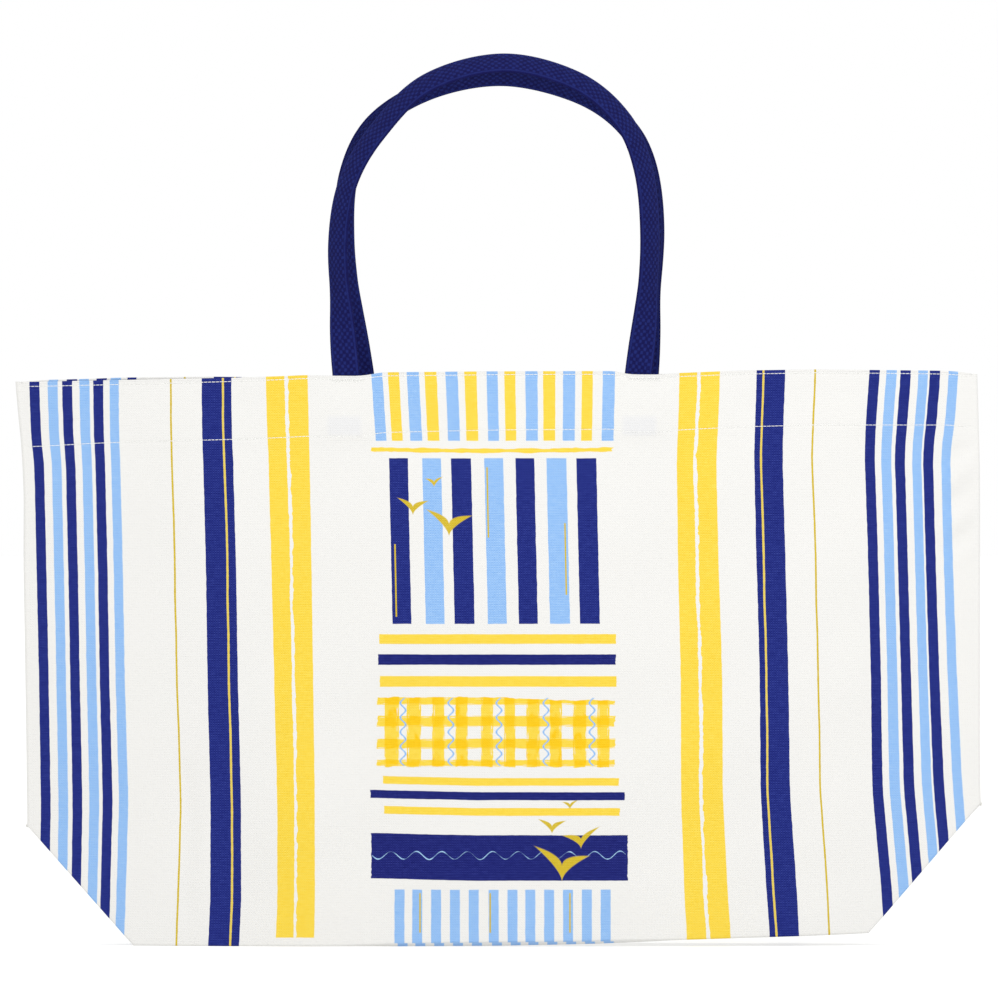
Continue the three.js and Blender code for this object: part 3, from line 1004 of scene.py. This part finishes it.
def bar_layers(graph, u, v, hand):
    """The brushed line under the mouth's stripes, and the straight bars across the middle."""
    middle = 315.5 - ((u + 80.0) * (math.pi / 155)).sine() * 0.9 + hand.ragged * 0.5
    half = 1.5 + graph.noise(u, v * 0.0, 13, 1, detail=4, seed=16.0) * 1.1
    brush = (half - abs(v - middle)).clamped(3.0) * graph.inside(u + hand.ragged * 2.0, -79.6, 73.9)
    layers = [(brush, INKS["yellow"])]
    droop = (-12.0 - u).clamped(1 / 65) * 1.4 * (v < 112.0)
    for low, high, left, right, ink in CROSS_BARS:
        bar = graph.inside(v + hand.wobble - droop, low, high)
        layers.append((bar * graph.inside(u + hand.ragged * 0.6, left, right), INKS[ink]))
    return layers


def brushed(graph, value, bands, span, streaks):
    """Mask of bands painted with a dry brush, whose edges break up into streaks."""
    _, whole = graph.bands(value, [(low, high, "yellow") for low, high in bands], span)
    _, core = graph.bands(value, [(low + 1.1, high - 1.1, "yellow") for low, high in bands], span)
    return (whole * (streaks > -0.22)).at_least(core * (1.3 - streaks.at_least(0.0) * 0.5).clamped(1.0))


def check_layers(graph, u, v, hand):
    """The yellow check: uprights and crossbars with rough ends, deeper where they cross. Its top edge
    fades out to the right."""
    fade = (u - 5.0).clamped(1 / 30) * (v > 150.0)
    top = graph.noise(u, v * 0.0, 9, 1, detail=4, seed=5.5) * 1.3 + fade * 1.6
    within = graph.inside(v + top, 114, 158.4) * graph.inside(u + hand.ragged * 1.4, -75.8, 75.2)
    rough = hand.wobble + hand.ragged * 0.35
    uprights = brushed(graph, u + rough, CHECK_COLUMNS, (-90, 90), graph.noise(u, v, 0.6, 8, seed=14.0))
    crossbars = brushed(graph, v + rough, CHECK_ROWS, (100, 170), graph.noise(u, v, 12, 0.55, seed=15.0))
    heavy = (graph.noise(u, v, 7, 14, detail=2, seed=17.0) - 0.2).clamped(4.0)
    either = uprights.at_least(crossbars) * within
    both = uprights * crossbars.at_least(heavy) * within
    return [(either, INKS["yellow"]), (both, INKS["deep"])]


def fine_layers(graph, u, v, hand):
    """Wavy lines, gold strokes and birds."""
    layers = []
    sway = ((v - 150.0) * (2 * math.pi / 9.2)).cosine() * 1.65
    within = graph.inside(v, 114.6, 158)
    for place in WAVE_PLACES:
        layers.append(((abs(u - sway - place) < 0.6) * within, INKS["sky"]))
    swell = 2.4 + graph.noise(u, v * 0.0, 30, 1, seed=18.0) * 0.7
    roll = ((u + 66.9) * (2 * math.pi / 16.15)).cosine() * swell
    faint = graph.noise(u, v * 0.0, 7, 1, detail=3, seed=7.7)
    line = (0.8 + faint * 1.5 - abs(v - roll - 58.0) * 2.2).clamped(1.0)
    layers.append((line * graph.inside(u, -79, 82), INKS["foam"]))
    for place, low, high in GOLD_STROKES:
        lean = (high - v) * (0.02 if low > 200 else 0.0)
        layers.append(((abs(u - lean - place) < 0.5) * graph.inside(v, low, high), INKS["gold"]))
    return layers + [(bird(graph, u, v, *mark), INKS["gold"]) for mark in BIRDS]


def canvas_surface(graph, u, v):
    """Height and brightness of bare canvas, and how thickly ink lies on it. The weave has warp threads
    that pass over and under the weft, ribs along the weft, uneven slubs and a soft mottling."""
    slubs = graph.noise(u, v, 5.5, 0.75, detail=3, seed=3.0)
    threads = graph.noise(u, v, 0.8, 5.0, detail=2, seed=6.0)
    patches = graph.noise(u, v, 45, 60, detail=2, seed=9.0)
    over = (u * (math.pi / YARN)).sine() * (v * (math.pi / YARN)).sine()
    ribs = (v * (math.pi / YARN) + threads * 1.2).sine()
    height = over * 0.3 + ribs * 0.2 + slubs * 0.5 + threads * 0.2
    shade = 1.0 + over * 0.035 + ribs * 0.01 + slubs * 0.02 + threads * 0.01 + patches * 0.008
    flecks = graph.noise(u, v, 2.6, 0.9, detail=1, seed=12.0) > 0.93
    ink_depth = over * 0.95 + ribs * 0.35 + slubs * 0.9 + threads * 0.5
    return height, shade - flecks * 0.07, ink_depth


def shaded(graph, colour, shade):
    """A colour made lighter or darker by shade."""
    grey = graph.node("ShaderNodeCombineColor")
    for socket in grey.inputs[:3]:
        graph.plug(socket, shade)
    made = graph.node("ShaderNodeMix", data_type="RGBA", blend_type="MULTIPLY")
    made.inputs[0].default_value = 1.0
    graph.plug(made.inputs[6], colour)
    graph.plug(made.inputs[7], grey.outputs[0])
    return made.outputs[2]


def printed_canvas():
    graph = Graph("printed_canvas")
    u, v = graph.cloth_place()
    height, shade, ink_depth = canvas_surface(graph, u, v)
    # Painted shade: a faint bluish-grey darkening of the canvas over each strap's tail, standing in for the
    # shade of the webbing that lies behind the cloth there.
    painted_tail_shade = graph.inside(abs(u + 3.0) - STRAP_X / MM, -12.5, 12, 3) * graph.inside(v, 323, 338, 3)
    colour = graph.mix(painted_tail_shade * 0.28, paint(246, 245, 242), paint(228, 230, 239))
    inked = u * 0.0
    for mask, ink in print_layers(graph, u, v):
        colour = graph.mix(mask * INK_COVER, colour, ink)
        inked = mask.at_least(inked)
    deepened = graph.node("ShaderNodeGamma")
    graph.plug(deepened.inputs[0], colour)
    graph.plug(deepened.inputs[1], 1.0 + inked * ink_depth * 0.19)
    rough = 0.92 - inked * 0.06
    return graph.finish(shaded(graph, deepened.outputs[0], shade), rough, height, WEAVE_BUMP)


def plain_canvas():
    """The unprinted side of the same cloth."""
    graph = Graph("plain_canvas")
    u, v = graph.cloth_place()
    height, shade, _ = canvas_surface(graph, u, v)
    return graph.finish(shaded(graph, paint(244, 243, 236), shade), 0.93, height, WEAVE_BUMP)


def webbing():
    """Navy webbing: lighter dots in offset columns between two smooth selvages."""
    graph = Graph("webbing")
    u, v = graph.cloth_place()
    shake = graph.noise(u, v, 2.6, 3.4, detail=1, seed=5.0) * 0.6
    across = ((u + shake) * (math.pi * MM / DOT_ACROSS)).cosine()
    along = ((v - shake) * (math.pi * MM / DOT_ALONG)).cosine()
    dots = (across * along).at_least(0.0) ** 0.4
    selvage = graph.inside(abs(u), 6.6, 8.3, 0.5)
    inner = 1.0 - graph.inside(abs(u), 6.7, 12, 0.5)
    yarn = graph.noise(u, v, 0.5, 0.5, detail=2, seed=1.0)
    mottle = graph.noise(u, v, 4, 7, detail=2, seed=2.0)
    light = (dots * inner * 0.62 + selvage * 0.45 + yarn * 0.2 + mottle * 0.2 + 0.04).clamped(1.0)
    colour = graph.mix(light, paint(14, 15, 79), paint(35, 49, 126))
    ribs = (v * (math.pi / 0.45)).sine() * (u * (math.pi / 0.6)).sine()
    return graph.finish(colour, 0.85, ribs * 0.5 + yarn * 0.5, WEAVE_BUMP)


def cotton_thread():
    graph = Graph("cotton_thread")
    u, v = graph.cloth_place()
    twist = ((u * 2.0 + v) * (math.pi / 0.35)).sine()
    shade = 1.0 + twist * 0.04
    colour = shaded(graph, paint(255, 255, 252, 0.88), shade)
    return graph.finish(colour, 0.8, twist, 0.05 * MM, specular=0.3)


# ---- Assembly ----
PRINTED = printed_canvas()
PLAIN = plain_canvas()
WEBBING = webbing()
COTTON = cotton_thread()


def covers(piece, slot, *nodes):
    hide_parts(*nodes)
    return piece


def make_half(face):
    """The cloth, thread and handle of one half."""
    names = ("left", "right") if face == "front" else ("right", "left")
    cloth = (PRINTED, PLAIN)
    panel = half_piece(f"{face}_panel_cloth", face, (X, panel_rows(face)), cloth)
    covers(bend(panel), "printed_canvas", f"{face}_panel")
    inner = X[np.abs(X) <= HALF_WIDTH - HEM_END + TINY]
    hem = half_piece(f"{face}_hem_cloth", face, (inner, hem_rows(inner)), cloth)
    covers(bend(hem), "printed_canvas", f"{face}_hem")
    for level, row in (("upper", upper_row), ("lower", lower_row)):
        thread = stitch_row(f"{face}_hem_{level}_stitches", face, row, COTTON)
        covers(bend(thread), "thread", f"{face}_hem_{level}_thread")
    for side, name in zip((-1, 1), names):
        thread = tack(f"{face}_{name}_tack_stitches", face, side, COTTON)
        covers(bend(thread), "thread", f"{face}_{name}_tack")
    base = half_piece(f"base_{face}_cloth", face, tent_rows(face, np.abs(X) <= CORNER_X + TINY, False), cloth)
    covers(bend(base), "printed_canvas", "base_panel")
    for side, name in zip((-1, 1), names):
        select = side * X >= CORNER_X - TINY
        gusset = half_piece(f"{name}_gusset_{face}_cloth", face, tent_rows(face, select, True), cloth)
        covers(bend(gusset), "printed_canvas", f"{name}_gusset")
        rows = corner_seam_rows(side)
        seam = half_piece(f"{name}_corner_seam_{face}_cloth", face, rows, (PLAIN, PLAIN))
        covers(bend(seam), "plain_canvas", f"{name}_corner_seam")
    strap = handle(f"{face}_handle_webbing", face, WEBBING)
    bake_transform(strap)
    covers(strap, "webbing", f"{face}_handle", f"{face}_left_strap_end", f"{face}_right_strap_end")


def make_side_seam(side, name):
    """Seam allowance inside a side seam: both edges pressed together and overlocked."""
    outer_x = HALF_WIDTH - 1.6 * MM
    x = np.linspace(SEAM_LOW.x, outer_x, 5)
    heights = np.linspace(SEAM_LOW.z, SEAM_HIGH.z, 70)
    wide, z = np.meshgrid(x, heights)
    ripple = 0.35 * MM * np.sin(z / 0.011) * (outer_x - wide) / (outer_x - SEAM_LOW.x)
    edge = 0.4 * MM * np.sin(z / 0.0043) * (wide < SEAM_LOW.x + TINY)
    outer = np.stack([side * (wide + edge), -CLOTH - 0.03 * MM + ripple, z], axis=-1)
    if side < 0:
        outer = outer[:, ::-1]
    world = outer[..., 0]
    outer[..., 0] = world + drift(world, z)
    outer[..., 2] = z + lift(world, z, "front")
    flat = np.stack([outer[..., 0], z], axis=-1)
    twin = outer + [0, 2 * CLOTH + 0.1 * MM, 0]
    front = cloth_piece(f"{name}_side_seam_front_cloth", outer, flat, (PLAIN, PLAIN))
    back = cloth_piece(f"{name}_side_seam_back_cloth", twin, flat, (PLAIN, PLAIN))
    for piece in (front, back):
        covers(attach(piece, "root"), "plain_canvas", f"{name}_side_seam")


for face in FACES:
    make_half(face)
make_side_seam(1, "right")
make_side_seam(-1, "left")


# ---- Stage, light and camera ----
def make_floor():
    """A white table lit from within, so that shadows on it stay faint."""
    bpy.ops.mesh.primitive_circle_add(vertices=96, radius=60, fill_type="NGON")
    floor = bpy.context.object
    floor.name = "floor"
    graph = Graph("floor")
    surface = graph.node("ShaderNodeBsdfPrincipled")
    surface.inputs["Base Color"].default_value = (0.38, 0.38, 0.38, 1)
    surface.inputs["Roughness"].default_value = 0.9
    surface.inputs["Specular IOR Level"].default_value = 0.1
    surface.inputs["Emission Color"].default_value = (1, 1, 0.985, 1)
    surface.inputs["Emission Strength"].default_value = 0.68
    output = graph.node("ShaderNodeOutputMaterial")
    graph.plug(output.inputs[0], surface.outputs[0])
    floor.data.materials.append(graph.material)


def make_light(name, place, target, size, power):
    data = bpy.data.lights.new(name, "AREA")
    data.shape = "DISK"
    data.size = size
    data.energy = power
    lamp = bpy.data.objects.new(name, data)
    lamp.location = place
    direction = target - lamp.location
    lamp.rotation_euler = direction.to_track_quat("-Z", "Y").to_euler()
    bpy.context.scene.collection.objects.link(lamp)


def make_camera():
    """Square on to the front, a long way off, level with the middle of the picture."""
    data = bpy.data.cameras.new("camera")
    distance = 9.0
    seen_width = 636.1 * MM
    data.sensor_width = 36
    data.lens = data.sensor_width * distance / seen_width
    data.clip_end = 300
    camera = bpy.data.objects.new("camera", data)
    camera.location = (1.6 * MM, -distance, 284 * MM)
    camera.rotation_euler = (math.radians(90), 0, 0)
    bpy.context.scene.collection.objects.link(camera)
    bpy.context.scene.camera = camera


def make_world():
    world = bpy.data.worlds.new("studio")
    world.use_nodes = True
    world.node_tree.nodes["Background"].inputs[0].default_value = (1, 1, 1, 1)
    world.node_tree.nodes["Background"].inputs[1].default_value = 1.0
    bpy.context.scene.world = world
    bpy.context.scene.view_settings.view_transform = "Standard"


make_floor()
middle = (CAD_BOX[0] + CAD_BOX[1]) / 2
for side, power in ((1, 13.2), (-1, 7.9)):
    make_light("key", (side * 0.95, -1.6, 1.4), middle, 0.8, power)
make_camera()
make_world()
